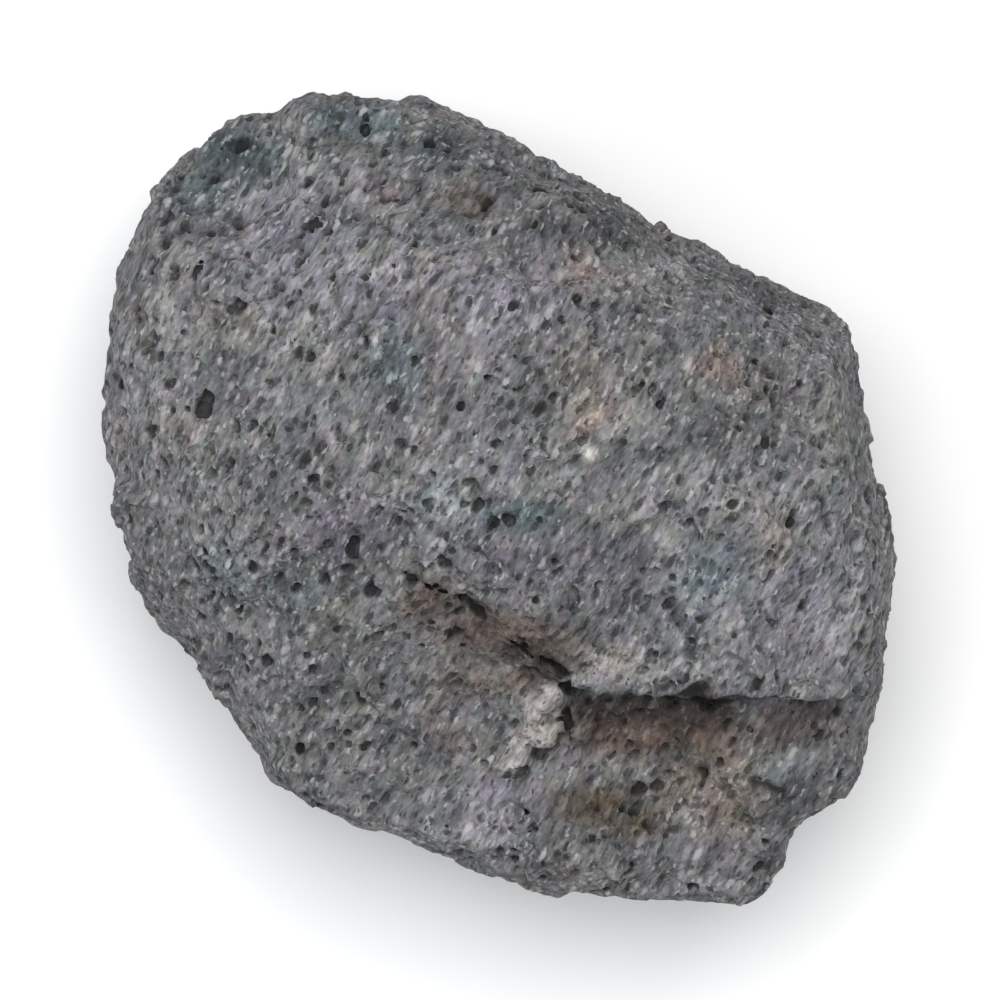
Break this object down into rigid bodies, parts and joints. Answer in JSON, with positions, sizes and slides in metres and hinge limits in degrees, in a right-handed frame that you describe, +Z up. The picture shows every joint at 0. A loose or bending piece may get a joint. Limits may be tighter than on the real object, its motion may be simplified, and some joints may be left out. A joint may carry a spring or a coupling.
{
  "type": "lava rock",
  "caption": "Loose lump of grey vesicular lava rock with flat broken facets, an undercut ledge over a brown hollow and a flat face to rest on.",
  "frame": {"origin": "centre of the bounding box in X and Y, on the ground plane that the resting face lies on", "axes": "+Z up, away from the resting face; +Y towards the high rounded end, with the ledge and hollow near the -Y side"},
  "size_m": [0.104, 0.1066, 0.0707],
  "materials": {
    "lava": "rough matt, pitted with small gas bubbles"
  },
  "bodies": {
    "root": {"lava_rock": "lava"}
  },
  "joints": []
}
